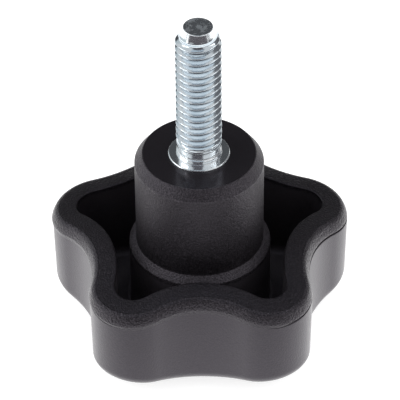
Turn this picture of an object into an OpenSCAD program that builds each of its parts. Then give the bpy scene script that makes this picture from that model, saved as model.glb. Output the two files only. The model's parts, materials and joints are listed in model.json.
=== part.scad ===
// Five-lobe star grip knob with a screw stud.
//
// The grip is one hollow moulding: a star-shaped skirt that is open on the stud's side, closed by a
// gently domed wall on the hand's side, with a stepped hub rising out of the middle. The stud is one
// turned steel insert: a screw, a neck, a collar and a knurled shank that the hub is moulded around.
//
// Frame: the knob stands on the flat land in the middle of its domed side, stud up. The origin is
// the centre of that land and +Z runs along the stud. One lobe points along +Y.

/* [Star outline] */
// Number of lobes
lobes = 5; // [4:1:6]
// Diameter over the lobes at the parting line
grip_d = 40.2; // [36:0.1:50]
// Diameter across the bottoms of the valleys between the lobes
valley_d = 30.5; // [26:0.1:33]
// Radius of each lobe's end in plan
lobe_r = 5.9; // [4.9:0.1:7]

/* [Skirt] */
// Height of the rim above the resting face, where it would meet the stud's axis
rim_apex_h = 18.4; // [15:0.1:24]
// Angle at which the rim falls away from the axis
rim_fall = 12; // [0:0.5:15]
// Width of the rim from the cavity's edge to the parting line
rim_w = 3.2; // [2.4:0.1:3.8]
// Width of the rounded outer part of the rim
rim_round_w = 1.3; // [0.6:0.1:1.8]
// Height of the rounded outer part of the rim
rim_round_h = 1.5; // [0.8:0.1:2.4]
// How far the rim stands out past the side wall at the parting line
parting_step = 0.25; // [0.05:0.05:0.4]
// Draft of the side walls, inside and out
draft = 1; // [0.5:0.25:2]

/* [Closed side] */
// Radius of the dome on the hand's side
dome_r = 69; // [55:1:120]
// Diameter of the flat land in the middle of the dome
land_d = 12.6; // [10:0.1:22]
// Radius of the rounding between the side wall and the dome
foot_round = 1.5; // [0.8:0.1:2.5]
// Thickness of the closed wall
floor_t = 3.3; // [2:0.1:4]
// Radius between the cavity's wall and its floor
cavity_round = 1; // [0.5:0.1:1.5]

/* [Hub] */
// Height of the hub's face above the resting face
hub_h = 27.3; // [22:0.1:34]
// Diameter of the hub
hub_d = 16.7; // [13.9:0.1:18]
// Width of the bevel round the hub's face
hub_bevel_w = 1; // [0.4:0.1:1.6]
// Height of the bevel round the hub's face
hub_bevel_h = 1.35; // [0.4:0.05:2]
// Depth of the shoulder below the hub's face
shoulder_depth = 13.75; // [10:0.25:15]
// How far the boss below the shoulder stands out past the hub
shoulder_w = 0.9; // [0.4:0.1:1.2]

/* [Stud] */
// Outer diameter of the screw thread
thread_d = 6; // [5:1:8]
// Length of the stud from its collar's face to its tip
stud_len = 20; // [12:1:40]
// Diameter of the flat on the stud's tip
tip_d = 3.75; // [3:0.25:4.5]
// Height of the cone behind the tip
tip_cone_h = 1.1; // [0.6:0.1:1.6]
// Length of the plain neck between the collar and the thread
neck_len = 2.1; // [1.6:0.1:3]
// Depth of the neck below the thread's crests
neck_depth = 0.3; // [0.2:0.05:0.5]
// Depth to which the thread's last turn is cut away behind the tip's cone
lead_depth = 0.55; // [0.4:0.05:0.7]
// Diameter of the collar
collar_d = 8; // [7.5:0.1:10]
// Thickness of the collar
collar_h = 1.5; // [0.8:0.1:3]
// How far the collar stands proud of the hub's face
collar_proud = 0.25; // [0.1:0.05:0.8]

/* [Moulded-in shank] */
// Length of the shank inside the hub
shank_len = 11; // [9:0.5:14]
// How far the knurl's crests lie inside the collar's edge
knurl_inset = 0.2; // [0.1:0.05:0.5]
// Number of teeth of the straight knurl
knurl_teeth = 24; // [16:2:32]
// Depth of the knurl
knurl_depth = 0.35; // [0.2:0.05:0.5]
// Width of the groove that keeps the shank in the hub
groove_w = 2; // [1.5:0.25:3]
// Depth of that groove
groove_depth = 0.8; // [0.5:0.1:1]
// Gap between the steel and the plastic, which shrinks tight on it
mould_gap = 0; // [0:0.01:0.05]

/* [Hidden] */
$fn = 96;

// Segments along a lobe's arc, along a valley's arc and along a rounding
lobe_steps = 14;
valley_steps = 6;
round_steps = 4;
// Rings between the roundings and the flat middle, on the dome and on the cavity's floor
blend_steps = 3;

grip_r = grip_d / 2;
valley_r = valley_d / 2;
land_r = land_d / 2;
hub_r = hub_d / 2;
boss_r = hub_r + shoulder_w;
// The cavity's floor is flat round the boss and follows the dome from there outwards
floor_flat_r = boss_r + 0.35;
half_pitch = 180 / lobes;

// Each lobe is an arc about lobe_c, each valley an arc about valley_c. The two arcs touch, so the
// distance between their centres is the sum of their radii, which gives valley_c.
lobe_c = grip_r - lobe_r;
valley_gap = lobe_r - valley_r;
valley_c = (lobe_c * lobe_c - valley_gap * valley_gap) / (2 * (lobe_c * cos(half_pitch) + valley_gap));
valley_arc_r = valley_c - valley_r;
touch_angle = atan2(valley_c * sin(half_pitch), valley_c * cos(half_pitch) - lobe_c);
valley_half_angle = touch_angle - half_pitch;

// Heights of the rim, the parting line, the dome and the cavity's floor over a point r from the axis
function rim_z(r) = rim_apex_h - r * tan(rim_fall);
function parting_z(r) = rim_z(r) - rim_round_h;
function dome_z(r) = r < land_r ? 0 : sqrt(dome_r * dome_r - land_r * land_r) - sqrt(dome_r * dome_r - r * r);
function floor_z(r) = floor_t + dome_z(max(r, floor_flat_r)) - dome_z(floor_flat_r);

// Point of the star's outline, moved inwards by inset, on the arc of lobe or valley number i
function lobe_point(i, t, inset) =
    let (mid = 90 + 2 * half_pitch * i, a = mid + touch_angle * (2 * t - 1), r = lobe_r - inset)
    [lobe_c * cos(mid) + r * cos(a), lobe_c * sin(mid) + r * sin(a)];
function valley_point(i, t, inset) =
    let (mid = 90 + half_pitch * (2 * i + 1), a = mid + 180 + valley_half_angle * (1 - 2 * t), r = valley_arc_r + inset)
    [valley_c * cos(mid) + r * cos(a), valley_c * sin(mid) + r * sin(a)];
function star(inset) = [
    for (i = [0:lobes - 1])
        each concat(
            [for (j = [0:lobe_steps]) lobe_point(i, j / lobe_steps, inset)],
            [for (j = [1:valley_steps - 1]) valley_point(i, j / valley_steps, inset)]
        )
];

// Ring of the star, shrunk towards a circle of radius r as t goes from 0 to 1
function blend(inset, r, t) = [for (p = star(inset)) p * (1 - t) + p / norm(p) * r * t];

// Rings from the rim's inner edge over the rounded rim, down the side wall and round onto the dome
wall_h = parting_z(grip_r) - dome_z(grip_r) - foot_round;
foot_inset = parting_step + wall_h * tan(draft);
function rim_ring(a) = [
    for (p = star(rim_round_w * (1 - sin(a))))
        [p.x, p.y, parting_z(norm(p)) + rim_round_h * cos(a)]
];
function foot_ring(a) = [
    for (p = star(foot_inset + foot_round * (1 - cos(a))))
        [p.x, p.y, dome_z(norm(p)) + foot_round * (1 - sin(a))]
];
function dome_ring(t) = [
    for (p = blend(foot_inset + foot_round, land_r, t)) [p.x, p.y, dome_z(norm(p))]
];
outer_rings = concat(
    [for (j = [0:round_steps]) rim_ring(90 * j / round_steps)],
    [[for (p = star(parting_step)) [p.x, p.y, parting_z(norm(p))]]],
    [for (j = [0:round_steps]) foot_ring(90 * j / round_steps)],
    [for (j = [1:blend_steps]) dome_ring(j / blend_steps)]
);

// Rings from the flat round the boss, out over the cavity's floor and up its wall to the rim
cavity_h = rim_z(grip_r - rim_w) - floor_z(grip_r - rim_w) - cavity_round;
cavity_inset = rim_w + cavity_h * tan(draft);
function cavity_ring(a) = [
    for (p = star(cavity_inset + cavity_round * (1 - cos(a))))
        [p.x, p.y, floor_z(norm(p)) + cavity_round * (1 - sin(a))]
];
function floor_ring(t) = [
    for (p = blend(cavity_inset + cavity_round, floor_flat_r, t)) [p.x, p.y, floor_z(norm(p))]
];
inner_rings = concat(
    [for (j = [blend_steps:-1:1]) floor_ring(j / blend_steps)],
    [for (j = [round_steps:-1:0]) cavity_ring(90 * j / round_steps)],
    [[for (p = star(rim_w)) [p.x, p.y, rim_z(norm(p))]]]
);

// Closed skin over a list of rings that have the same number of points
module skin(rings) {
    n = len(rings[0]);
    last = len(rings) - 1;
    faces = concat(
        [[for (i = [n - 1:-1:0]) i]],
        [for (k = [0:last - 1]) each [
            for (i = [0:n - 1])
                let (j = (i + 1) % n) each [
                    [k * n + i, k * n + j, (k + 1) * n + i],
                    [k * n + j, (k + 1) * n + j, (k + 1) * n + i]
                ]
        ]],
        [[for (i = [0:n - 1]) last * n + i]]
    );
    polyhedron(points = [for (r = rings) each r], faces = faces);
}

module star_skirt() {
    skin(concat(inner_rings, outer_rings));
}

// Hub, shoulder and boss in one turned profile. The boss starts inside the closed wall.
module hub() {
    shoulder_h = hub_h - shoulder_depth;
    rotate_extrude()
        polygon([
            [0, floor_t / 2],
            [boss_r, floor_t / 2],
            [boss_r, shoulder_h - shoulder_w],
            [hub_r, shoulder_h],
            [hub_r, hub_h - hub_bevel_h],
            [hub_r - hub_bevel_w, hub_h],
            [0, hub_h]
        ]);
}

// Knurled shank with its groove and the collar's face, grown by gap for the pocket it is moulded in
shank_top = hub_h + collar_proud;
shank_bottom = hub_h - shank_len;
collar_r = collar_d / 2;
knurl_r = collar_r - knurl_inset;
module knurl(gap) {
    step = 180 / knurl_teeth;
    polygon([
        for (i = [0:2 * knurl_teeth - 1])
            let (r = knurl_r + gap - (i % 2) * knurl_depth) [r * cos(i * step), r * sin(i * step)]
    ]);
}
module shank(gap = 0) {
    groove_z = (shank_bottom + shank_top - collar_h - groove_w) / 2;
    difference() {
        translate([0, 0, shank_bottom - gap])
            linear_extrude(shank_top - shank_bottom - collar_h + gap)
                knurl(gap);
        translate([0, 0, groove_z + gap])
            difference() {
                cylinder(r = knurl_r + 1, h = groove_w - 2 * gap);
                cylinder(r = knurl_r + gap - groove_depth, h = groove_w - 2 * gap);
            }
    }
    translate([0, 0, shank_top - collar_h - gap])
        cylinder(r = collar_r + gap, h = collar_h + gap);
}

// Screw, neck and bead in one turned profile that grows out of the collar
module screw() {
    thread_r = thread_d / 2;
    neck_r = thread_r - neck_depth;
    tip_z = shank_top + stud_len;
    thread_z = shank_top + neck_len;
    bead_z = shank_top + neck_len / 3;
    lead_r = thread_r - lead_depth;
    rotate_extrude()
        polygon([
            [0, shank_top - collar_h / 2],
            [thread_r, shank_top - collar_h / 2],
            [thread_r, bead_z],
            [neck_r, bead_z + neck_depth],
            [neck_r, thread_z - neck_depth],
            [thread_r, thread_z],
            [thread_r, tip_z - tip_cone_h - lead_depth],
            [lead_r, tip_z - tip_cone_h],
            [tip_d / 2, tip_z],
            [0, tip_z]
        ]);
}

module knob_body() {
    color([0.13, 0.13, 0.14])
        union() {
            star_skirt();
            difference() {
                hub();
                shank(mould_gap);
            }
        }
}

module threaded_stud() {
    color([0.78, 0.8, 0.84])
        union() {
            shank();
            screw();
        }
}

knob_body();
threaded_stud();
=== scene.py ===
# %% [markdown]
# # A star knob: black moulded grip, bright zinc-plated stud
#
# A star knob is two things. The grip is one hollow plastic moulding: a five-lobed skirt, closed on the
# hand's side, with a hub standing in its hollow. The stud is one steel insert that the hub is moulded
# around. Both shapes are made here as surfaces worked out with numpy on a grid, because every section of
# the knob follows a rule: a ring round the axis, at a height. The packed CAD model gives the places.

# %% Frame and tools
import json
import math

import bpy
import numpy as np
from mathutils import Matrix, Vector


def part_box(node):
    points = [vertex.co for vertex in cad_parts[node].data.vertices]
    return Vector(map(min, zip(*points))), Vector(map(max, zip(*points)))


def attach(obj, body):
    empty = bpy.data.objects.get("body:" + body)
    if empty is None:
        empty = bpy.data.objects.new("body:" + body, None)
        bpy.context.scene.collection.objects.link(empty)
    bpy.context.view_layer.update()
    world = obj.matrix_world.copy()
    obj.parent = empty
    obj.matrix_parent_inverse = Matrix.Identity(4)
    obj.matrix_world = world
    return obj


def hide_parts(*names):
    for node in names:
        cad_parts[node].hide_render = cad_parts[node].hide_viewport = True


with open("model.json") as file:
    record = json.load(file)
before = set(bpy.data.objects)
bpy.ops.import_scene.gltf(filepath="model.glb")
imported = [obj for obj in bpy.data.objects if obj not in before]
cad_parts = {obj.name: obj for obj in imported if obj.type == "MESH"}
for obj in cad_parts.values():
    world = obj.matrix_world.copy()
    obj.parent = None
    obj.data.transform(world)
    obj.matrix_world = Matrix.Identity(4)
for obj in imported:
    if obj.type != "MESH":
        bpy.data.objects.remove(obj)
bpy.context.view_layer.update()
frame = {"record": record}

# %% [markdown]
# ## The camera
#
# The knob is looked down on from its front at about forty degrees, from an arm's length, through a long
# lens. A pinhole camera is a place, three directions and a focal length. They are worked out from the
# elevation, the turn and the roll, and the camera aims at a point on the stud's axis.

# %% Camera
MM = 0.001
ELEVATION = math.radians(40.40)
AZIMUTH = math.radians(-0.20)
ROLL = math.radians(-0.50)
DISTANCE = 401.0 * MM
AIM_HEIGHT = 19.44 * MM
SENSOR_WIDTH = 36.0
# How wide a piece of the scene fills the picture at the aim point
FRAME_WIDTH = 51.982 * MM
# How far the lens is shifted to the right and up, in picture widths
SHIFT_RIGHT = 0.0012
SHIFT_UP = -0.0019
NEAREST = 10.0 * MM
FARTHEST = 20000.0 * MM


def camera_axes(elevation, azimuth, roll):
    """Right, up and backward directions of a camera that looks at the axis.

    Backward is the unit vector from the aim point to the camera. Right is level, up is square to both,
    and the roll turns right and up together about the line of sight.
    """
    back = Vector(
        (
            math.sin(azimuth) * math.cos(elevation),
            -math.cos(azimuth) * math.cos(elevation),
            math.sin(elevation),
        )
    )
    level = Vector((math.cos(azimuth), math.sin(azimuth), 0.0))
    upright = back.cross(level)
    right = math.cos(roll) * level + math.sin(roll) * upright
    up = math.cos(roll) * upright - math.sin(roll) * level
    return right, up, back


right, up, back = camera_axes(ELEVATION, AZIMUTH, ROLL)
camera_data = bpy.data.cameras.new("camera")
camera = bpy.data.objects.new("camera", camera_data)
bpy.context.scene.collection.objects.link(camera)
camera.matrix_world = Matrix(
    [[*row, 0.0] for row in zip(right, up, back)] + [[0.0, 0.0, 0.0, 1.0]]
)
camera.location = Vector((0.0, 0.0, AIM_HEIGHT)) + back * DISTANCE
camera_data.sensor_width = SENSOR_WIDTH
camera_data.lens = SENSOR_WIDTH * DISTANCE / FRAME_WIDTH
camera_data.shift_x = SHIFT_RIGHT
camera_data.shift_y = SHIFT_UP
camera_data.clip_start = NEAREST
camera_data.clip_end = FARTHEST
bpy.context.scene.camera = camera
print("camera lens in mm", round(camera_data.lens, 1))

# %% [markdown]
# ## Sizes
#
# The overall sizes come from the frame: the box of each node and the height of the collar's mount. So the
# visible pieces stand where the solids stand. Everything here is in millimetres, and the meshes are
# scaled to metres when they are made.

# %% Sizes from the frame
body_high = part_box("knob_body")[1]
stud_low, stud_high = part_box("threaded_stud")
mounts = {mount["name"]: mount for mount in frame["record"]["mounts"]}
hub_top = body_high.z / MM
tip_z = stud_high.z / MM
shank_bottom = stud_low.z / MM
collar_z = mounts["collar_face"]["pos_m"][2] / MM
collar_r = stud_high.x / MM
grip_r = body_high.y / MM
print("hub face", round(hub_top, 2), "collar", round(collar_z, 2), "tip", round(tip_z, 2))
print("grip radius", round(grip_r, 2), "collar radius", round(collar_r, 2))

# %% [markdown]
# ## The star's own sizes
#
# The radii, walls and roundings of the star and of the hub repeat the values that the CAD source is drawn
# with. The rim's turn and the parting line are finer here than in the solid, because they are what
# catches the light on the real knob.

# %% Sizes of the star skirt and the hub
LOBES = 5
LOBE_R = 5.9
# From the axis to the outline in the middle of a valley
VALLEY_R = 15.25
# The rim's surface is a cone that reaches this height on the axis
RIM_APEX = 18.4
RIM_FALL = math.tan(math.radians(12.0))
RIM_W = 3.2
RIM_EDGE_R = 0.22
# How far across the rim its top starts to turn over
TURN_START = 2.3
# How far the parting line lies under the rim's inner edge, and under the rim's cone
PARTING_DROP = 2.1
PARTING_UNDER = 1.24
# The side wall starts a little outside the outline, and the two mould halves are a little out of line
SIDE_INSET = -0.08
MISMATCH = 0.09
DRAFT = math.tan(math.radians(1.0))
DOME_R = 69.0
LAND_R = 6.3
FOOT_ROUND = 1.5
FLOOR_T = 3.3
CAVITY_ROUND = 1.0
HUB_R = 8.35
HUB_BEVEL_W = 1.0
HUB_BEVEL_H = 1.35
SHOULDER_DEPTH = 13.75
SHOULDER_W = 0.9
BOSS_R = HUB_R + SHOULDER_W
# The cavity's floor is flat this far round the boss
FLOOR_FLAT_R = BOSS_R + 0.35
print("boss radius", BOSS_R, "closed wall", FLOOR_T, "rim width", RIM_W)

# %% [markdown]
# ## The star outline in polar form
#
# Seen along the stud, the outline is ten arcs that touch: five round lobes and five hollow valleys. A
# drawing program would join ten arcs. Here the outline is a function instead: for a direction, how far is
# it from the axis to the outline? Both arcs are circles, and the distance to a circle along a ray is the
# root of a quadratic, so the function needs no search. Moving the outline inwards by an inset makes the
# lobe's circle smaller and the valley's circle bigger, and they still touch.

# %% Star outline
lobe_c = grip_r - LOBE_R
half_pitch = math.pi / LOBES
valley_gap = LOBE_R - VALLEY_R
valley_c = (lobe_c**2 - valley_gap**2) / (2 * (lobe_c * math.cos(half_pitch) + valley_gap))
valley_arc_r = valley_c - VALLEY_R
touch_angle = math.atan2(
    valley_c * math.sin(half_pitch), valley_c * math.cos(half_pitch) - lobe_c
)


def star_radius(theta, inset):
    """Distance from the axis to the outline moved inwards by inset, in the directions theta.

    Each direction is first folded to the nearest lobe, which gives phi, from 0 on the lobe's middle to
    half a pitch in the valley. Before the point where the arcs touch, the ray meets the lobe's circle on
    its far side: c cos(phi) + sqrt(r^2 - c^2 sin^2(phi)). After it, the ray meets the valley's circle on
    its near side, with psi measured from the valley's middle: c cos(psi) - sqrt(r^2 - c^2 sin^2(psi)).
    """
    theta, inset = np.broadcast_arrays(theta, inset)
    turn = (theta - math.pi / 2) / (2 * half_pitch)
    phi = np.abs(turn - np.round(turn)) * 2 * half_pitch
    psi = half_pitch - phi
    lobe_r = LOBE_R - inset
    valley_r = valley_arc_r + inset
    touch = np.arctan2(
        lobe_r * math.sin(touch_angle), lobe_c + lobe_r * math.cos(touch_angle)
    )
    under_lobe = np.maximum(lobe_r**2 - (lobe_c * np.sin(phi)) ** 2, 0.0)
    under_valley = np.maximum(valley_r**2 - (valley_c * np.sin(psi)) ** 2, 0.0)
    lobe = lobe_c * np.cos(phi) + np.sqrt(under_lobe)
    valley = valley_c * np.cos(psi) - np.sqrt(under_valley)
    return np.where(phi <= touch, lobe, valley)


def rim_z(r):
    """Height of the rim's surface: a cone that falls outwards at a steady slope."""
    return RIM_APEX - r * RIM_FALL


def dome_z(r):
    """Height of the closed side: flat out to the land's edge, and a sphere's cap from there."""
    r = np.maximum(r, LAND_R)
    return math.sqrt(DOME_R**2 - LAND_R**2) - np.sqrt(DOME_R**2 - r**2)


def floor_z(r):
    """Height of the cavity's floor: flat round the boss, and level with the dome further out."""
    return FLOOR_T + dome_z(np.maximum(r, FLOOR_FLAT_R)) - dome_z(FLOOR_FLAT_R)


print("valley arc radius", round(valley_arc_r, 2), "centre at", round(valley_c, 2))

# %% [markdown]
# ## Rings
#
# The grip's whole skin, inside and out, is one strip of rings: it starts at the bottom of the stud's
# socket, climbs to the hub's face, goes down the hub, over the cavity's floor, up to the rim, down the
# side and under the dome to the middle of the land. A ring is a row of radii and a row of heights over
# the same directions, so the skin is two arrays, and no edge loop is ever drawn by hand. Each stretch
# also says how grainy and how polished it is, because the mould was spark-eroded in some places and
# polished in others.

# %% Ring helpers
COLUMNS = 360
LONGEST = 0.8
ARC_STEPS = 5
theta = np.arange(COLUMNS) * (2 * math.pi / COLUMNS) + math.pi / 2
# How deep the grain is, how rough the skin between the grains is, and how light the plastic's tone is
# drawn there, partly as painted light
ZONES = {
    "polished": {"grain": 0.0, "rough": 0.20, "tone_and_painted_light": 0.16},
    # The bevel is drawn paler as painted sheen
    "bevel": {"grain": 1.2, "rough": 0.45, "tone_and_painted_light": 0.22},
    "hub": {"grain": 1.1, "rough": 0.48, "tone_and_painted_light": 0.08},
    # The shoulder, cavity and boss are drawn paler as painted light in the shaded hollow, the boss most
    "shoulder": {"grain": 1.2, "rough": 0.45, "tone_and_painted_light": 0.45},
    "cavity": {"grain": 0.2, "rough": 0.5, "tone_and_painted_light": 0.30},
    "boss": {"grain": 0.3, "rough": 0.45, "tone_and_painted_light": 0.80},
    "rim": {"grain": 0.8, "rough": 0.33, "tone_and_painted_light": 0.0},
    "turn": {"grain": 1.5, "rough": 0.33, "tone_and_painted_light": 0.0},
    "gap": {"grain": 0.0, "rough": 0.60, "tone_and_painted_light": 0.0},
    "side": {"grain": 0.32, "rough": 0.38, "tone_and_painted_light": 0.38},
}
rings = {"r": [], "z": [], "grain": [], "rough": [], "tone_and_painted_light": []}


def add_rings(r, z, zone):
    """Adds a block of rings: r and z are arrays of rows by columns, or of rows by one for circles."""
    rows = np.shape(r)[0]
    values = {"r": r, "z": z, **ZONES[zone]}
    for key, value in values.items():
        rings[key].append(np.broadcast_to(np.asarray(value, float), (rows, COLUMNS)))


def column(values):
    """A row of values turned into a column, so that it spreads over all directions."""
    return np.asarray(values, float)[:, None]


def turned(points, zone):
    """Rings of a turned profile through (radius, height) points, none further apart than LONGEST."""
    points = np.asarray(points, float)
    lengths = np.hypot(*np.diff(points, axis=0).T)
    steps = np.maximum(1, np.ceil(lengths / LONGEST)).astype(int)
    t = np.concatenate([k + np.arange(n) / n for k, n in enumerate(steps)])
    t = np.append(t, len(steps))
    k = np.arange(len(points))
    r = column(np.interp(t, k, points[:, 0]))
    z = column(np.interp(t, k, points[:, 1]))
    add_rings(r, z, zone)


def rounded(points, radii):
    """The (radius, height) points of a turned profile whose corners are replaced by arcs.

    At each corner the arc starts and ends at the same distance from the corner, radius / tan(half the
    corner's angle). Its points turn about a centre on the bisector, by half a turn less that angle.
    """
    points = [np.asarray(p, float) for p in points]
    out = [points[0]]
    for before, corner, after, radius in zip(points, points[1:], points[2:], radii):
        u = (before - corner) / np.linalg.norm(before - corner)
        w = (after - corner) / np.linalg.norm(after - corner)
        half = math.acos(np.clip(u @ w, -1, 1)) / 2
        centre = corner + (u + w) / np.linalg.norm(u + w) * radius / math.sin(half)
        start = corner + u * radius / math.tan(half) - centre
        end = corner + w * radius / math.tan(half) - centre
        sweep = math.pi - 2 * half
        for t in np.linspace(0, 1, ARC_STEPS + 1):
            spoke = math.sin((1 - t) * sweep) * start + math.sin(t * sweep) * end
            out.append(centre + spoke / math.sin(sweep))
    out.append(points[-1])
    return np.array(out)


print("directions", COLUMNS, "kinds of skin", len(ZONES))

# %% [markdown]
# ## The grip, from the stud's socket to the cavity
#
# The hub is a plain turned shape: a polished face with the socket in it, a bevel, a long side with hardly
# any draft, and a shoulder where the boss below it is a little thicker. A real moulding has no sharp
# edge anywhere, so each corner gets a small arc, from a twentieth to a third of a millimetre. Those arcs
# are what draws the fine bright lines along a black part's edges.

# %% Hub rings
SOCKET_GAP = 0.015
# Radii of the arcs at the corners of each stretch
SOCKET_ARCS = [0.05, 0.06]
BEVEL_ARCS = [0.1, 0.3]
SHOULDER_ARCS = [0.12, 0.12]
BOSS_ARCS = [0.25]
# How far from the corner between them one stretch ends and the next one starts
FACE_END = 0.12
BEVEL_START = 0.08
BEVEL_TAIL = 0.25
HUB_START = 0.1
HUB_END = 0.2
SHOULDER_START = 0.12
SHOULDER_TAIL = 0.5
BOSS_START = 0.6

socket_r = collar_r + SOCKET_GAP
socket_z = shank_bottom - SOCKET_GAP
face_r = HUB_R - HUB_BEVEL_W
bevel_end = hub_top - HUB_BEVEL_H - BEVEL_TAIL
shoulder_z = hub_top - SHOULDER_DEPTH
boss_z = shoulder_z - SHOULDER_W
face_line = [
    (0.0, socket_z),
    (socket_r, socket_z),
    (socket_r, hub_top),
    (face_r - FACE_END, hub_top),
]
bevel_line = [
    (face_r - BEVEL_START, hub_top),
    (face_r, hub_top),
    (HUB_R, hub_top - HUB_BEVEL_H),
    (HUB_R, bevel_end),
]
hub_line = [(HUB_R, bevel_end - HUB_START), (HUB_R, shoulder_z + HUB_END)]
shoulder_line = [
    (HUB_R, shoulder_z + SHOULDER_START),
    (HUB_R, shoulder_z),
    (BOSS_R, boss_z),
    (BOSS_R, boss_z - SHOULDER_TAIL),
]
boss_line = [(BOSS_R, boss_z - BOSS_START), (BOSS_R, FLOOR_T), (FLOOR_FLAT_R, FLOOR_T)]
turned(rounded(face_line, SOCKET_ARCS), "polished")
turned(rounded(bevel_line, BEVEL_ARCS), "bevel")
turned(hub_line, "hub")
turned(rounded(shoulder_line, SHOULDER_ARCS), "shoulder")
turned(rounded(boss_line, BOSS_ARCS), "boss")
print("socket radius", round(socket_r, 3), "shoulder at", round(shoulder_z, 2))

# %% [markdown]
# ## The crowned rim
#
# The rim isn't a flat with a rounded edge. Its top leans gently outwards, turns over within a millimetre
# and then runs down steeply to the parting line. Such a curve is easiest to give by its slope at a few
# lengths along it. Adding up the cosines and sines of the slope gives how far out and how far down it
# has come. What the cone of the rim doesn't explain is kept apart, as a depth under the cone.

# %% Rim profile
RIM_STEPS = 44
# The slope in degrees at lengths along the rim
slope_at = [0.0, 2.28, 2.82, 3.12, 3.84, 4.26]
slope_is = [8.0, 11.0, 36.0, 61.0, 69.0, 84.0]
length = np.linspace(0, slope_at[-1], RIM_STEPS + 1)
slope = np.radians(np.interp(length, slope_at, slope_is))
slope[1:-1] = (slope[:-2] + 2 * slope[1:-1] + slope[2:]) / 4
between = (slope[1:] + slope[:-1]) / 2
rim_out = np.append(0, np.cumsum(np.cos(between))) * length[1]
rim_down = np.append(0, np.cumsum(np.sin(between))) * length[1]
under_cone = rim_down - rim_out * RIM_FALL
print("rim width", round(rim_out[-1], 2), "and drop", round(rim_down[-1], 2))

# %% [markdown]
# ## The cavity
#
# From here every ring is a star. The skirt is hollow to keep its walls even, because thick plastic sinks
# as it cools. Its floor starts as a circle round the boss and becomes a star, by mixing two radii, and a
# quarter of a circle turns it up into the wall. The wall leans by a degree so that the core comes out.

# %% Cavity rings
FLOOR_RINGS = 12
CORNER_RINGS = 9
WALL_RINGS = 20
# The first ring of the floor lies this much of the way to the boss
NEAR_BOSS = 0.97
rim_edge = star_radius(theta, RIM_W)
rim_top = rim_z(rim_edge)
wall_h = rim_top - PARTING_DROP - dome_z(grip_r) - FOOT_ROUND
foot_inset = SIDE_INSET + float(wall_h.max()) * DRAFT
cavity_h = float(rim_top.min()) - floor_z(grip_r - RIM_W) - CAVITY_ROUND
cavity_inset = RIM_W + cavity_h * DRAFT


def blend_to_circle(star, circle_r, t):
    """Radii that go from a star's to a circle's as t goes from 0 to 1."""
    return star * (1 - t) + circle_r * t


def quarter(rings_in_arc):
    """Angles from 0 to a quarter turn, one for each ring of an arc."""
    return column(np.linspace(0, math.pi / 2, rings_in_arc))


t = column(np.linspace(NEAR_BOSS, 0.0, FLOOR_RINGS))
r = blend_to_circle(star_radius(theta, cavity_inset + CAVITY_ROUND), FLOOR_FLAT_R, t)
add_rings(r, floor_z(r), "cavity")
a = quarter(CORNER_RINGS)[::-1][1:]
r = star_radius(theta, cavity_inset + CAVITY_ROUND * (1 - np.cos(a)))
add_rings(r, floor_z(r) + CAVITY_ROUND * (1 - np.sin(a)), "cavity")
t = column(np.linspace(0, 1, WALL_RINGS)[1:-1])
r = star_radius(theta, cavity_inset + (RIM_W - cavity_inset) * t)
z = (floor_z(r) + CAVITY_ROUND) * (1 - t) + (rim_top - RIM_EDGE_R) * t
add_rings(r, z, "cavity")
print("cavity inset at the floor", round(cavity_inset, 2))

# %% [markdown]
# ## Over the rim
#
# The rim's height is read from its cone and its profile: a ring's height is the cone's height at its own
# radius, less the profile's depth there. So the parting line, which is the profile's last point, runs
# parallel to the rim and falls from the valleys to the lobes. The rim's inner edge gets a small arc,
# which is the fine line between the rim and the dark cavity.

# %% Rim rings
EDGE_RINGS = 7
# The rim's own rings start this far beyond the arc of its inner edge
PAST_EDGE = 0.05
side_out = RIM_W - rim_out[-1]
parting_r = star_radius(theta, side_out)
depth_share = PARTING_UNDER / under_cone[-1]
parting_z = rim_z(parting_r) - PARTING_UNDER
print("parting line from", round(parting_z.min(), 2), "to", round(parting_z.max(), 2))
a = quarter(EDGE_RINGS)
r = star_radius(theta, RIM_W - RIM_EDGE_R * (1 - np.cos(a)))
edge_under = np.interp(RIM_EDGE_R, rim_out, under_cone)
add_rings(r, rim_z(r) - edge_under - RIM_EDGE_R * (1 - np.sin(a)), "rim")
stretches = [
    (RIM_EDGE_R + PAST_EDGE, TURN_START, "rim"),
    (TURN_START, np.inf, "turn"),
]
for low, high, zone in stretches:
    part = (rim_out > low) & (rim_out <= high)
    r = star_radius(theta, RIM_W - column(rim_out[part]))
    add_rings(r, rim_z(r) - column(under_cone[part]) * depth_share, zone)

# %% [markdown]
# ## The parting line
#
# The mould parts just under the rim. Its two halves never meet exactly: the rim's half is a little bigger
# and lies a little to one side, and its edge stands out as a thin ledge. On the right the ledge is sharp
# and has a fine gap under it, and on the left it is worn to a soft slope. One number per direction, from
# 0 to 1, says how sharp it is, and the ledge, the gap and their finish all follow it.

# %% Parting ledge
# How sharp the ledge is: 1 on the right, fading towards the front, and a trace on the front left
sharp_at = [0, 40, 90, 130, 205, 216, 232, 242, 294, 302, 312, 324, 360]
sharp_is = [1, 1, 0.6, 0, 0, 0.15, 0.15, 0, 0, 0.15, 0.7, 1, 1]
# How high a sharp ledge is, and how much higher a worn one
SHARP_H = 0.04
WORN_H = 0.45
GAP_DEPTH = 0.35
GAP_H = 0.24
# The ledge's lip is set back by this much, and so are the gap's lower edge and the ring under it
LIP_BACK = 0.03
EDGE_BACK = 0.05
NEXT_BACK = 0.015
# Rings this far apart in height keep an edge crisp
FINE = 0.01

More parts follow.
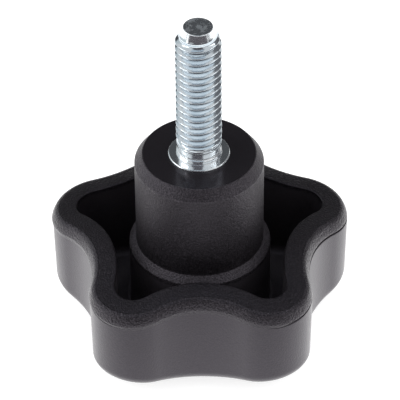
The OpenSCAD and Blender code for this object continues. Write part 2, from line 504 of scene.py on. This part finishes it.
angle = np.degrees(theta) % 360
sharp = np.interp(angle, sharp_at, sharp_is)
ledge_h = SHARP_H + WORN_H * (1 - sharp) ** 2
worn_gap = {}
for key in ZONES["gap"]:
    worn_gap[key] = ZONES["gap"][key] * sharp + ZONES["rim"][key] * (1 - sharp)
ZONES["worn gap"] = worn_gap
mismatch = MISMATCH * np.cos(theta)
side_r = star_radius(theta, SIDE_INSET) + mismatch
gap_r = side_r - GAP_DEPTH * sharp
gap_top = parting_z - ledge_h
gap_low = gap_top - GAP_H * sharp
r = [parting_r - LIP_BACK * sharp, gap_r, gap_r, side_r - EDGE_BACK * sharp]
r.append(side_r - NEXT_BACK * sharp)
z = [parting_z - 2 * FINE, gap_top, gap_low - FINE, gap_low - 2 * FINE, gap_low - 3 * FINE]
add_rings(np.stack(r), np.stack(z), "worn gap")
print("ledge height from", round(ledge_h.min(), 2), "to", round(ledge_h.max(), 2))

# %% [markdown]
# ## Down the side and under the dome
#
# The side wall also leans by a degree. It turns under in an arc and runs into the closed side, which is a
# shallow dome with a flat land in its middle, for the palm. The last ring is the land's middle point.

# %% Side and dome rings
SIDE_RINGS = 26
FOOT_RINGS = 14
DOME_RINGS = 14
LAND_RINGS = 9
# Above 1, the side's rings crowd towards its top
CROWDING = 1.15
t = column(np.linspace(0, 1, SIDE_RINGS) ** CROWDING)
r = star_radius(theta, SIDE_INSET + (foot_inset - SIDE_INSET) * t) + mismatch
side_top = gap_low - 6 * FINE
add_rings(r, side_top * (1 - t) + (dome_z(r) + FOOT_ROUND) * t, "side")
a = quarter(FOOT_RINGS)[1:]
r = star_radius(theta, foot_inset + FOOT_ROUND * (1 - np.cos(a))) + mismatch
add_rings(r, dome_z(r) + FOOT_ROUND * (1 - np.sin(a)), "side")
t = column(np.linspace(0, 1, DOME_RINGS)[1:])
r = blend_to_circle(star_radius(theta, foot_inset + FOOT_ROUND), LAND_R, t)
add_rings(r, dome_z(r), "side")
t = column(np.linspace(1, 0, LAND_RINGS)[1:])
add_rings(LAND_R * t, 0 * t, "side")
print("rings in the grip", sum(len(block) for block in rings["r"]))

# %% [markdown]
# ## From rings to a mesh
#
# Stacking the blocks gives one array of rows by columns. Every quad joins a column to the next one and a
# row to the next one, so all the faces come from one index formula. The first and last rings have no
# radius: each is a single point, a pole, with a fan of triangles round it.

# %% Mesh maker
def grid_mesh(name, x, y, z, attributes):
    """A closed mesh from arrays of rows by columns, whose first and last rows are poles.

    Row k, column i is the point (x, y, z)[k, i]. A quad takes columns i and i + 1 of rows k and k + 1,
    and columns close round. The pole rows give one point each, joined to their neighbours by triangles.
    """
    rows, columns = x.shape
    grid = np.stack([x, y, z], axis=-1)[1:-1].reshape(-1, 3)
    poles = np.array([[x[k].mean(), y[k].mean(), z[k].mean()] for k in (0, -1)])
    points = np.concatenate([grid, poles]) * MM
    count = rows - 2
    i = np.arange(columns)
    j = (i + 1) % columns
    k = np.arange(count - 1)[:, None] * columns
    quads = np.stack([k + i, k + j, k + columns + j, k + columns + i], axis=-1)
    quads = quads.reshape(-1, 4)
    first, last = count * columns, count * columns + 1
    end = (count - 1) * columns
    fans = np.concatenate(
        [
            np.stack([np.full(columns, first), j, i], axis=-1),
            np.stack([end + i, end + j, np.full(columns, last)], axis=-1),
        ]
    )
    mesh = bpy.data.meshes.new(name)
    loops = len(quads) * 4 + len(fans) * 3
    faces = len(quads) + len(fans)
    mesh.vertices.add(len(points))
    mesh.vertices.foreach_set("co", points.ravel())
    mesh.loops.add(loops)
    mesh.loops.foreach_set("vertex_index", np.concatenate([quads.ravel(), fans.ravel()]))
    mesh.polygons.add(faces)
    sizes = np.concatenate([np.full(len(quads), 4), np.full(len(fans), 3)])
    mesh.polygons.foreach_set("loop_start", np.cumsum(sizes) - sizes)
    mesh.update(calc_edges=True)
    mesh.polygons.foreach_set("use_smooth", np.ones(faces, bool))
    for label, values in attributes.items():
        layer = mesh.attributes.new(label, "FLOAT", "POINT")
        ends = [values[0].mean(), values[-1].mean()]
        layer.data.foreach_set("value", np.concatenate([values[1:-1].ravel(), ends]))
    mesh.validate()
    obj = bpy.data.objects.new(name, mesh)
    bpy.context.scene.collection.objects.link(obj)
    print(name, "points", len(points), "triangles", 2 * len(quads) + len(fans))
    return obj


# %% [markdown]
# ## The grip in one piece
#
# The moulding comes out of its tool in one piece, and so does the mesh. The rings run from the socket
# outwards. Taken from the last to the first, the faces look outwards. Each point also carries the grain,
# roughness and paleness of its stretch, the paleness partly painted light, and the finish reads them.

# %% Grip mesh
stacked = {key: np.concatenate(blocks)[::-1] for key, blocks in rings.items()}
radius = stacked.pop("r")
height = stacked.pop("z")
grip = grid_mesh("grip", radius * np.cos(theta), radius * np.sin(theta), height, stacked)
print("grip heights from", round(height.min(), 2), "to", round(height.max(), 2))

# %% [markdown]
# ## The stud
#
# The stud is a turned blank with a rolled M6 x 1 thread. A thread is often made by carrying a small
# triangle along a helix, which needs care where it starts and ends. Here the whole stud is one grid: the
# radius is a function of height and direction. The thread's phase is the height in pitches less the turn
# in whole turns, and the radius reads a sixty-degree profile at that phase. At its ends the thread fades
# into the neck and is cut by the cone of the tip, by taking the smaller radius of the two.

# %% Thread profile
PITCH = 1.0
CREST_R = 2.94
# The depth of a metric thread of that pitch
THREAD_DEPTH = 0.6134 * PITCH
ROOT_R = CREST_R - THREAD_DEPTH
CREST_W = 0.07
FLANK_W = THREAD_DEPTH * math.tan(math.radians(30.0))
# How wide the windows are that round the crest and the root, in pitches
CREST_ROUND = 0.05
ROOT_ROUND = 0.14
# Turns the thread about the axis, in pitches
THREAD_PHASE = -0.34
PARTS_PER_PITCH = 1000


def blurred(values, width):
    """Values that repeat, averaged twice over a window that is width pitches wide."""
    window = int(width * PARTS_PER_PITCH)
    box = np.ones(window) / window
    for _ in range(2):
        padded = np.pad(values, window, mode="wrap")
        values = np.convolve(padded, box, "same")[window:-window]
    return values


def thread_shape(phase):
    """1 on the thread's crest and 0 in its root, at a phase in pitches that is 0 on a crest.

    A narrow flat crest, a straight flank and a root, read from the distance to the nearest crest.
    Averaging over a short window rounds the crest a little and over a longer one the root, and the two
    are mixed by the shape itself.
    """
    fine = np.arange(-PARTS_PER_PITCH, PARTS_PER_PITCH + 1) / PARTS_PER_PITCH
    away = np.abs(fine - np.round(fine)) * PITCH
    shape = 1 - np.clip((away - CREST_W / 2) / FLANK_W, 0, 1)
    crest = blurred(shape, CREST_ROUND)
    root = blurred(shape, ROOT_ROUND)
    shape = crest * shape + root * (1 - shape)
    shape = (shape - shape.min()) / (shape.max() - shape.min())
    return np.interp(phase - np.round(phase), fine, shape)


def smooth_step(x):
    """0 below 0, 1 above 1 and a smooth S between them."""
    x = np.clip(x, 0, 1)
    return x * x * (3 - 2 * x)


print("thread root radius", round(ROOT_R, 2), "flank width", round(FLANK_W, 2))

# %% [markdown]
# ## Where the thread begins and ends
#
# Rolling dies squeeze the thread out of a plain blank, so it doesn't stop at a wall. At the tip the last
# turns run out onto a cone, a little proud of it. At the collar the groove climbs out onto a plain neck
# with a slight waist, which stands on a low step. Two curves over the height hold all of this: how far
# out the crest stands and how deep the root lies. Where they meet there is no thread.

# %% Envelopes of the thread
TIP_R = 1.87
TIP_SLOPE = 0.43
# The thread stands proud of the tip's cone by TIP_BULGE, reached over a ramp that starts under the tip
TIP_BULGE = 0.12
BULGE_START = 0.75
BULGE_RAMP = 0.7
FOOT_R = 2.90
NECK_R = 2.67
# The arc at the neck's foot, then the heights above it where the step and the neck end
FOOT_H = 0.10
STEP_H = 0.42
NECK_H = 1.75
# Over what heights the step falls back to the neck and the thread grows out of it, and how fast the neck
# gives way to the thread's root
STEP_RAMP = 0.12
THREAD_RAMP = 0.6
NECK_FALL = 0.95
foot_z = collar_z + FOOT_H


def crest_and_root(z):
    """Radii of the thread's crest and root at the heights z, equal where there is no thread.

    Near the tip both follow a cone, tip radius + slope times the depth below the tip. The neck is the
    foot's radius on the step, then the waist's, which grows evenly back to the foot's radius.
    """
    down = tip_z - z
    cone = TIP_R + TIP_SLOPE * down
    proud = TIP_BULGE * smooth_step((down - BULGE_START) / BULGE_RAMP)
    up = z - foot_z
    waist = NECK_R + (FOOT_R - NECK_R) * np.clip((up - STEP_H) / (NECK_H - STEP_H), 0, 1)
    neck = FOOT_R + (waist - FOOT_R) * smooth_step((up - STEP_H) / STEP_RAMP)
    neck = neck - NECK_FALL * np.maximum(up - NECK_H, 0)
    grown = smooth_step((up - NECK_H) / THREAD_RAMP)
    root = np.maximum(np.minimum(ROOT_R, cone), neck)
    crest = np.minimum(CREST_R, cone + proud)
    return root + (crest - root) * grown, root


print("neck from", round(foot_z, 2), "to", round(foot_z + NECK_H, 2))

# %% [markdown]
# ## The stud in one piece
#
# Under the hub's face the steel is a knurled shank with a groove turned round it. The plastic flows into
# both, so the stud can neither turn nor be pulled out. Above it sits a flat, bright collar, which the
# fixed part is clamped against, and the low step and the neck are mirrored in it. Shank, collar, screw
# and tip are rows of one grid: a radius for every direction, and one height.

# %% The stud's shank and collar
KNURL_R = collar_r - 0.2
KNURL_DEPTH = 0.35
KNURL_TEETH = 24
GROOVE_W = 2.0
GROOVE_DEPTH = 0.8
COLLAR_H = 1.5
# Radii of the arcs under the collar, over it and at the neck's foot
COLLAR_ARCS = [0.02, 0.20, 0.09]
FOOT_TOP = 0.03
STUD_COLUMNS = 6 * KNURL_TEETH

turn = np.arange(STUD_COLUMNS) * (2 * math.pi / STUD_COLUMNS)
around = np.ones(STUD_COLUMNS)
tooth = np.abs(2 * ((turn * KNURL_TEETH / (2 * math.pi)) % 1.0) - 1)
knurl = KNURL_R - KNURL_DEPTH * tooth
knurl_top = collar_z - COLLAR_H
groove_low = (shank_bottom + knurl_top - GROOVE_W) / 2
groove_top = groove_low + GROOVE_W
groove_r = (KNURL_R - GROOVE_DEPTH) * around
stud_rows = [
    (0 * around, shank_bottom),
    (0.5 * knurl, shank_bottom),
    (knurl, shank_bottom),
    (knurl, groove_low),
    (groove_r, groove_low),
    (groove_r, groove_top),
    (knurl, groove_top),
    (knurl, knurl_top),
]
collar_line = [
    (KNURL_R, knurl_top),
    (collar_r, knurl_top),
    (collar_r, collar_z),
    (FOOT_R, collar_z),
    (FOOT_R, foot_z + FOOT_TOP),
]
for ring_r, ring_z in rounded(collar_line, COLLAR_ARCS)[1:]:
    stud_rows.append((ring_r * around, ring_z))
print("knurled shank from", round(shank_bottom, 2), "to", round(knurl_top, 2))

# %% [markdown]
# ## The screw and the tip
#
# A rolled thread is a helix, and the grid doesn't need one: every row stays level, and its radius follows
# the phase. The screw's rows stand close, so that the flanks come out straight. The tip ends in a small
# arc and a face that is turned flat. Two attributes go along: where the surface was turned on a lathe,
# and how deep a point lies in the thread.

# %% Stud mesh
ROWS_PER_PITCH = 28
# The screw's first and last rows, above the foot and below the tip
SCREW_START = 0.04
SCREW_END = 0.02
# The tip's face: the arc at its edge, where it is nearly flat, and how far it is hollow
TIP_EDGE = 0.05
TIP_ARCS = [0.03]
TIP_INNER_R = 0.8
TIP_CENTRE_R = 0.4
TIP_INNER_DROP = 0.04
TIP_DROP = 0.05
# 1 on the tip's face, 0.6 on its cone, 0.3 on the neck and collar, and 0 on the rolled thread
TURNED_LEVELS = [1.0, 0.6, 0.3]
FACE_DEPTH = 0.055
CONE_DEPTH = 0.9

screw_z = np.arange(foot_z + SCREW_START, tip_z - SCREW_END, PITCH / ROWS_PER_PITCH)[:, None]
phase = (screw_z - tip_z) / PITCH - turn / (2 * math.pi) + THREAD_PHASE
crest, root = crest_and_root(screw_z)
shape = thread_shape(phase)
screw_r = root + (crest - root) * shape
depth = (1 - shape) * (crest - root) / THREAD_DEPTH
first_row = len(stud_rows)
stud_rows += list(zip(screw_r, screw_z[:, 0]))
tip_line = [
    (TIP_R, tip_z),
    (TIP_R - TIP_EDGE, tip_z),
    (TIP_INNER_R, tip_z - TIP_INNER_DROP),
]
for ring_r, ring_z in rounded(tip_line, TIP_ARCS):
    stud_rows.append((ring_r * around, ring_z))
stud_rows.append((TIP_CENTRE_R * around, tip_z - TIP_DROP))
stud_rows.append((0 * around, tip_z - TIP_DROP))
stud_r = np.array([row[0] for row in stud_rows])
stud_z = np.array([row[1] for row in stud_rows])[:, None] * around
places = [stud_z > tip_z - FACE_DEPTH, stud_z > tip_z - CONE_DEPTH, stud_z < foot_z + NECK_H]
turned_mask = np.select(places, TURNED_LEVELS, 0.0)
root_mask = np.zeros_like(stud_r)
root_mask[first_row : first_row + len(depth)] = depth
stud = grid_mesh(
    "stud",
    stud_r * np.cos(turn),
    stud_r * np.sin(turn),
    stud_z,
    {"turned": turned_mask, "root": root_mask},
)
print("rows on the thread", len(depth))

# %% [markdown]
# ## Shader maths
#
# A finish is a small program. Written as nodes it is hard to read, so one class holds a socket and
# Python's own operators make the Math nodes. Every other node comes from one method, which takes its
# type, its settings and its sockets. The floor, the cards and the world are made with it as well.

# %% Shader helper
class Amount:
    """A number that changes over a surface. Its operators add Math nodes."""

    def __init__(self, nodes, socket):
        self.nodes = nodes
        self.socket = socket

    def _math(self, operation, first, second):
        node = self.nodes.add("ShaderNodeMath", {"operation": operation}, {0: first, 1: second})
        return self.nodes.amount(node, 0)

    def __add__(self, other):
        return self._math("ADD", self, other)

    def __radd__(self, other):
        return self._math("ADD", other, self)

    def __sub__(self, other):
        return self._math("SUBTRACT", self, other)

    def __rsub__(self, other):
        return self._math("SUBTRACT", other, self)

    def __mul__(self, other):
        return self._math("MULTIPLY", self, other)

    def __rmul__(self, other):
        return self._math("MULTIPLY", other, self)

    def between(self, low, high):
        """0 below low, 1 above high, and a straight line between them."""
        sockets = {"Value": self, "From Min": low, "From Max": high}
        node = self.nodes.add("ShaderNodeMapRange", {"clamp": True}, sockets)
        return self.nodes.amount(node, "Result")


class Nodes:
    """The nodes of a material or a world, which start empty and are added one at a time."""

    def __init__(self, owner):
        owner.use_nodes = True
        self.tree = owner.node_tree
        self.tree.nodes.clear()

    def connect(self, target, value):
        """Links an amount or a socket to a socket, or sets the socket to a plain value."""
        if isinstance(value, Amount):
            value = value.socket
        if isinstance(value, bpy.types.NodeSocket):
            self.tree.links.new(value, target)
        else:
            target.default_value = value

    def add(self, kind, settings, sockets):
        """A node of that type: settings are set first, then its sockets' values and links."""
        node = self.tree.nodes.new(kind)
        for key, value in settings.items():
            setattr(node, key, value)
        for key, value in sockets.items():
            self.connect(node.inputs[key], value)
        return node

    def amount(self, node, output):
        """One of a node's outputs, ready for operators."""
        return Amount(self, node.outputs[output])

    def place(self):
        """The point on the piece, in the piece's own coordinates."""
        return self.add("ShaderNodeTexCoord", {}, {}).outputs["Object"]

    def scaled(self, place, scale):
        """A place, multiplied part by part."""
        node = self.add("ShaderNodeVectorMath", {"operation": "MULTIPLY"}, {0: place, 1: scale})
        return node.outputs["Vector"]

    def length(self, place):
        """How far a place is from the origin."""
        node = self.add("ShaderNodeVectorMath", {"operation": "LENGTH"}, {0: place})
        return self.amount(node, "Value")

    def noise(self, size_mm, place, detail):
        """Smooth noise from 0 to 1 with features of that size."""
        sockets = {"Vector": place, "Scale": 1 / (size_mm * MM), "Detail": detail}
        return self.amount(self.add("ShaderNodeTexNoise", {}, sockets), "Fac")

    def attribute(self, name):
        """A value that the mesh carries at each point."""
        node = self.add("ShaderNodeAttribute", {"attribute_name": name}, {})
        return self.amount(node, "Fac")

    def mix(self, factor, first, second):
        """A colour between two colours."""
        sockets = {"Factor": factor, 6: first, 7: second}
        return self.add("ShaderNodeMix", {"data_type": "RGBA"}, sockets).outputs[2]

    def bump(self, height, depth_mm):
        """A normal tilted by a height field whose full range is that deep."""
        sockets = {"Height": height, "Distance": depth_mm * MM, "Strength": 1.0}
        return self.add("ShaderNodeBump", {}, sockets).outputs["Normal"]


print("operators", "+ - *", "and methods", [name for name in vars(Nodes) if name[0] != "_"])

# %% [markdown]
# ## Black moulded plastic
#
# The grip is glass-filled black plastic. Its rim, hub side and bevel carry the fine grain of a
# spark-eroded mould, its side walls are smoother, and the hub's face is polished. One material does all
# three: the rings carry their grain, roughness and paleness as attributes, and those set the bump, the
# roughness and the colour. The paleness is partly painted light: the shoulder, cavity and boss in the
# shaded hollow and the bevel are drawn paler. Flecks, stronger where the grain is deeper, are painted
# glints of the grain.

# %% Plastic finish
PLASTIC = {"IOR": 1.5, "Metallic": 0.0, "Specular Tint": (0.955, 0.875, 1.0, 1)}
DARKEST = (0.0030, 0.0024, 0.0030, 1)
PALEST = (0.050, 0.045, 0.053, 1)
# Sizes of the noises in millimetres, then how much of each shows
FINE_GRAIN = 0.24
COARSE_GRAIN = 0.50
FLECK = 0.17
CLOUD = 6.0
FINE_SHARE = 0.9
FLECK_SHARE = 0.65
CLOUD_SHARE = 0.04
ROUGH_SHARE = 0.2
GRAIN_DEPTH = 0.11
# Where in a noise's range its flecks and clouds go from nothing to full
FLECK_RANGE = (0.35, 0.65)
CLOUD_RANGE = (0.3, 0.7)


def black_plastic():
    """Black plastic whose grain, roughness and paleness the grip's points carry."""
    material = bpy.data.materials.new("black_plastic")
    nodes = Nodes(material)
    place = nodes.place()
    grain = nodes.attribute("grain")
    fine = nodes.noise(FINE_GRAIN, place, detail=2.0)
    coarse = nodes.noise(COARSE_GRAIN, place, detail=2.0)
    fleck = nodes.noise(FLECK, place, detail=1.0)
    cloud = nodes.noise(CLOUD, place, detail=3.0)
    # Painted glints: flecks in the base colour, stronger where the grain is deeper
    painted_grain_glints = (fleck.between(*FLECK_RANGE) - 0.5) * grain * FLECK_SHARE
    # Base tone with painted light: paler in the hollow and on the bevel, as the rings carry it
    base_tone_and_painted_light = nodes.attribute("tone_and_painted_light") + cloud.between(*CLOUD_RANGE) * CLOUD_SHARE + painted_grain_glints
    relief = fine * FINE_SHARE + coarse * (1 - FINE_SHARE)
    driven = {
        "Base Color": nodes.mix(base_tone_and_painted_light.between(0.0, 1.0), DARKEST, PALEST),
        "Roughness": nodes.attribute("rough") + (fine - 0.5) * grain * ROUGH_SHARE,
        "Normal": nodes.bump(relief * grain, GRAIN_DEPTH),
    }
    shader = nodes.add("ShaderNodeBsdfPrincipled", {}, {**PLASTIC, **driven})
    nodes.add("ShaderNodeOutputMaterial", {}, {"Surface": shader.outputs[0]})
    return material


grip.data.materials.append(black_plastic())
print("grain deep in mm", GRAIN_DEPTH, "and wide", FINE_GRAIN)

# %% [markdown]
# ## Bright zinc plate
#
# Zinc plate over rolled steel is a mirror with a faint blue tint, a little haze, and fine marks from the
# dies and the lathe. The marks run round the axis, so their noise is stretched along the ring and packed
# along the stud. A greyer zinc in the thread's root is painted shade, and a paler one on the turned parts
# is painted sheen.

# %% Zinc finish
ZINC_LIGHT = (0.68, 0.735, 0.775, 1)
ZINC_DARK = (0.59, 0.655, 0.705, 1)
# A paler zinc painted on the turned neck, collar and tip as sheen
ZINC_PAINTED_SHEEN = (0.88, 0.91, 0.93, 1)
# A grey painted in the thread's root as shade
ROOT_PAINTED_SHADE = (0.10, 0.12, 0.15, 1)
PAINTED_SHEEN_SHARE = 0.7
# Sizes of the noises in millimetres
STREAK = 0.9
HAZE = 1.6
GRIT = 0.14
SWIRL = 0.8
LATHE = 0.35
# The streaks lie this much closer along the stud than round it
STREAK_SCALE = (1.0, 1.0, 9.0)
SWIRL_SHARE = 0.75
# Roughness of the clean plate, and what haze, marks and grit add to it
CLEAN_ROUGH = 0.08
HAZE_ROUGH = 0.08
MARK_ROUGH = 0.28
GRIT_ROUGH = 0.05
# How much streaks, grit and marks stand out, in parts of the relief's depth in millimetres
STREAK_RELIEF = 0.6
GRIT_RELIEF = 0.4
MARK_RELIEF = 2.0
ZINC_DEPTH = 0.008
# Where haze, marks and the painted shade in the thread's root go from nothing to full
HAZE_RANGE = (0.35, 0.65)
MARK_RANGE = (0.44, 0.58)
ROOT_SHADE_RANGE = (0.60, 1.0)
# The same for the mesh's own value of where it was turned: the tip's face, and all turned parts, which
# get the painted sheen
FACE_RANGE = (0.7, 1.0)
PAINTED_SHEEN_RANGE = (0.1, 0.3)


def zinc_plate():
    """Bright zinc, greyer in the thread's root as painted shade, and paler as painted sheen and marked
    where it was turned.
    """
    material = bpy.data.materials.new("zinc_plate")
    nodes = Nodes(material)
    place = nodes.place()
    was_turned = nodes.attribute("turned")
    stretched = nodes.add("ShaderNodeMapping", {}, {"Vector": place, "Scale": STREAK_SCALE})
    streaks = nodes.noise(STREAK, stretched.outputs[0], detail=3.0)
    haze = nodes.noise(HAZE, place, detail=3.0)
    grit = nodes.noise(GRIT, place, detail=2.0)
    swirl = nodes.noise(SWIRL, place, detail=3.0)
    from_axis = nodes.length(nodes.scaled(place, (1, 1, 0)))
    lathe = nodes.noise(LATHE, from_axis, detail=2.0)
    rubbed = swirl * SWIRL_SHARE + lathe * (1 - SWIRL_SHARE)
    marks = rubbed.between(*MARK_RANGE) * was_turned.between(*FACE_RANGE)
    tint = nodes.mix(haze.between(*HAZE_RANGE), ZINC_LIGHT, ZINC_DARK)
    # Painted shade: the zinc turns grey deep in the thread's root
    painted_root_shade = nodes.attribute("root").between(*ROOT_SHADE_RANGE) * (0.5 + grit * 0.5)
    tint = nodes.mix(painted_root_shade, tint, ROOT_PAINTED_SHADE)
    # Painted sheen: all turned parts get the paler zinc
    tint = nodes.mix(was_turned.between(*PAINTED_SHEEN_RANGE) * PAINTED_SHEEN_SHARE, tint, ZINC_PAINTED_SHEEN)
    rough = CLEAN_ROUGH + haze * HAZE_ROUGH + marks * MARK_ROUGH + grit * GRIT_ROUGH
    relief = streaks * STREAK_RELIEF + grit * GRIT_RELIEF + marks * MARK_RELIEF
    driven = {
        "Base Color": tint,
        "Roughness": rough,
        "Normal": nodes.bump(relief, ZINC_DEPTH),
    }
    shader = nodes.add("ShaderNodeBsdfPrincipled", {}, {"Metallic": 1.0, **driven})
    nodes.add("ShaderNodeOutputMaterial", {}, {"Surface": shader.outputs[0]})
    return material


stud.data.materials.append(zinc_plate())
print("roughness of clean plate", CLEAN_ROUGH, "and of the marks on it", MARK_ROUGH, "more")

# %% [markdown]
# ## The pieces take their places
#
# The grip stands in for the knob's body and the insert for the threaded stud. Both ride on the one body
# of the knob, since nothing on it moves.

# %% Pieces into the frame
for piece, node, slot in (
    (grip, "knob_body", "grip_plastic"),
    (stud, "threaded_stud", "stud_steel"),
):
    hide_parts(node)
    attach(piece, "root")
    print(piece.name, "replaces", node)

# %% [markdown]
# ## The white floor
#
# The knob stands in a light tent, on a white floor. The floor glows for the camera and for reflections,
# and it still takes the knob's shadow, because its own diffuse light is added to that glow. Reflections
# also see a brighter oval round the knob, a painted pool of light that stands in for the light the tent
# throws down beside it, and gives the upright walls their sheen.

# %% Floor
FLOOR_SIZE = 6.0
FLOOR_GREY = (0.6, 0.6, 0.6, 1)
FLOOR_GLOW = 0.75
# The brightest level of the painted pool of light round the knob, which only reflections see
PAINTED_POOL_LEVEL = 1.02
# Scaling a place by this makes the oval a circle, whose glow fades between these two radii
POOL_SCALE = (0.7, 1.75, 0.0)
POOL_INNER = 20.0 * MM
POOL_OUTER = 60.0 * MM


def sight(nodes):
    """Two amounts: 1 for what the camera sees or a reflection shows, and 1 for reflections only."""
    path = nodes.add("ShaderNodeLightPath", {}, {})
    mirrored = nodes.amount(path, "Is Glossy Ray")
    seen = nodes.amount(path, "Is Camera Ray") + mirrored
    through = nodes.amount(path, "Is Transmission Ray")
    return (seen + through).between(0, 1), mirrored


def white_floor():
    """A matt floor with a glow that only the camera and reflections see, and a painted pool of light."""
    material = bpy.data.materials.new("white_floor")
    nodes = Nodes(material)
    seen, mirrored = sight(nodes)
    away = nodes.length(nodes.scaled(nodes.place(), POOL_SCALE))
    # Painted pool of light: the floor glows brighter round the knob, for reflections only
    painted_pool = (1 - away.between(POOL_INNER, POOL_OUTER)) * PAINTED_POOL_LEVEL
    level = seen * FLOOR_GLOW + mirrored * painted_pool
    glow = nodes.add("ShaderNodeEmission", {}, {"Strength": level})
    matt = nodes.add("ShaderNodeBsdfDiffuse", {}, {"Color": FLOOR_GREY})
    both = nodes.add("ShaderNodeAddShader", {}, {0: glow.outputs[0], 1: matt.outputs[0]})
    nodes.add("ShaderNodeOutputMaterial", {}, {"Surface": both.outputs[0]})
    return material


def stage_sheet(name, corners, faces, material):
    """A piece of the studio: a mesh of four-sided faces with one material."""
    mesh = bpy.data.meshes.new(name)
    mesh.from_pydata(corners, [], faces)
    mesh.materials.append(material)
    sheet = bpy.data.objects.new(name, mesh)
    bpy.context.scene.collection.objects.link(sheet)
    return sheet


half = FLOOR_SIZE / 2
floor_corners = [(-half, -half, 0), (half, -half, 0), (half, half, 0), (-half, half, 0)]
stage_sheet("floor", floor_corners, [(0, 1, 2, 3)], white_floor())
print("floor", FLOOR_SIZE, "metres wide")

# %% [markdown]
# ## The white tent
#
# A tent of thin cloth lights the knob from all sides at once, so the world is one even white. What the
# camera and the reflections see of it is a little brighter than the light it gives.

# %% World
TENT_WHITE = (0.8, 0.8, 0.8, 1)
TENT_LIGHT = 0.95
world = bpy.data.worlds.new("studio")
bpy.context.scene.world = world
nodes = Nodes(world)
seen = sight(nodes)[0]
level = TENT_LIGHT + seen * (1 - TENT_LIGHT)
tent = nodes.add("ShaderNodeBackground", {}, {"Color": TENT_WHITE, "Strength": level})
nodes.add("ShaderNodeOutputWorld", {}, {"Surface": tent.outputs[0]})
print("light of the tent", TENT_LIGHT)

# %% [markdown]
# ## Grey cards
#
# Polished metal and black plastic show only what they mirror. In an all-white tent they would look flat,
# so a studio hangs grey cards round the object, each for one face. A card here is a piece of a
# ball round the knob, and a strip is bent over its top. Only reflections see them: they throw no shadow
# and dim no light. The dark front card gives the zinc its dark core, and the hub's polished face mirrors
# the two strips.

# %% Grey cards
CARD_STEPS = 24
CARD_DISTANCE = 0.75
STRIP_DISTANCE = 0.70
DARK = (0.12, 0.11, 0.12, 1)


def grey_sheet(name, points, grey):
    """A sheet over a grid of points that only reflections see, as bright as the grey."""
    rows, columns = points.shape[:2]
    k, i = np.meshgrid(np.arange(rows - 1), np.arange(columns - 1), indexing="ij")
    first = (k * columns + i).ravel()
    quads = np.stack([first, first + 1, first + columns + 1, first + columns], axis=-1)
    material = bpy.data.materials.new(name)
    nodes = Nodes(material)
    glow = nodes.add("ShaderNodeEmission", {}, {"Color": grey})
    nodes.add("ShaderNodeOutputMaterial", {}, {"Surface": glow.outputs[0]})
    sheet = stage_sheet(name, points.reshape(-1, 3).tolist(), quads.tolist(), material)
    sheet.visible_camera = False
    sheet.visible_diffuse = False
    sheet.visible_shadow = False
    sheet.visible_transmission = False


def card(name, azimuths, elevations, grey):
    """A curved grey card: the part of a ball round the knob between two azimuths and two elevations.

    Azimuth 0 is in front and 90 is on the right.
    """
    azimuth, elevation = np.meshgrid(
        np.radians(np.linspace(*azimuths, CARD_STEPS)),
        np.radians(np.linspace(*elevations, CARD_STEPS)),
    )
    right_part = np.sin(azimuth) * np.cos(elevation)
    front_part = np.cos(azimuth) * np.cos(elevation)
    points = np.stack([right_part, -front_part, np.sin(elevation)], axis=-1)
    grey_sheet(name, CARD_DISTANCE * points, grey)


def strip(name, widths, angles, grey):
    """A grey strip that runs from the front over the top, bent about the line from left to right.

    widths are where its two edges lie, in parts of the distance, right being positive. angles are where
    it starts and ends, in degrees from straight ahead: 90 is overhead.
    """
    side, angle = np.meshgrid(
        np.linspace(*widths, CARD_STEPS), np.radians(np.linspace(*angles, CARD_STEPS))
    )
    points = np.stack([side, -np.cos(angle), np.sin(angle)], axis=-1)
    grey_sheet(name, STRIP_DISTANCE * points, grey)


card("front_card", (-60, 57), (2, 26), DARK)
card("back_card", (146, 214), (4, 85), (0.078, 0.081, 0.086, 1))
card("right_card", (102, 135), (36, 62), (0.17, 0.17, 0.18, 1))
card("low_right_card", (62, 135), (5, 36), (0.13, 0.13, 0.14, 1))
card("low_left_card", (213, 290), (5, 30), (0.62, 0.68, 0.70, 1))
strip("gap_front", (-0.50, 0.26), (26, 72), DARK)
strip("gap_top", (-0.40, 0.22), (72, 106), (0.52, 0.60, 0.68, 1))
print("cards at", CARD_DISTANCE, "metres, strips at", STRIP_DISTANCE)

# %% [markdown]
# ## Panels of light
#
# Two soft panels stand left and right, the left one a little stronger. They only add the difference
# between the sides: most of the light comes from the tent itself.

# %% Panels of light
PANEL_SIZE = 0.6
PANEL_SIDE = 0.75
PANEL_FRONT = -0.05
PANEL_HEIGHT = 0.35
LEFT_POWER = 3.0
RIGHT_POWER = 2.4
KNOB_MIDDLE = Vector((0.0, 0.0, 20.0 * MM))


def panel(name, side, power):
    """A square soft light on one side, turned to face the knob's middle."""
    data = bpy.data.lights.new(name, "AREA")
    data.shape = "RECTANGLE"
    data.size = PANEL_SIZE
    data.size_y = PANEL_SIZE
    data.energy = power
    light = bpy.data.objects.new(name, data)
    light.location = (side, PANEL_FRONT, PANEL_HEIGHT)
    towards = KNOB_MIDDLE - light.location
    light.rotation_euler = towards.to_track_quat("-Z", "Y").to_euler()
    bpy.context.scene.collection.objects.link(light)


panel("left_panel", -PANEL_SIDE, LEFT_POWER)
panel("right_panel", PANEL_SIDE, RIGHT_POWER)
print("panels of", LEFT_POWER, "and", RIGHT_POWER, "watts")

# %% [markdown]
# ## Last steps
#
# The picture uses the plain colour transform, so a colour shows about as it is written.

bpy.context.scene.view_settings.view_transform = "Standard"
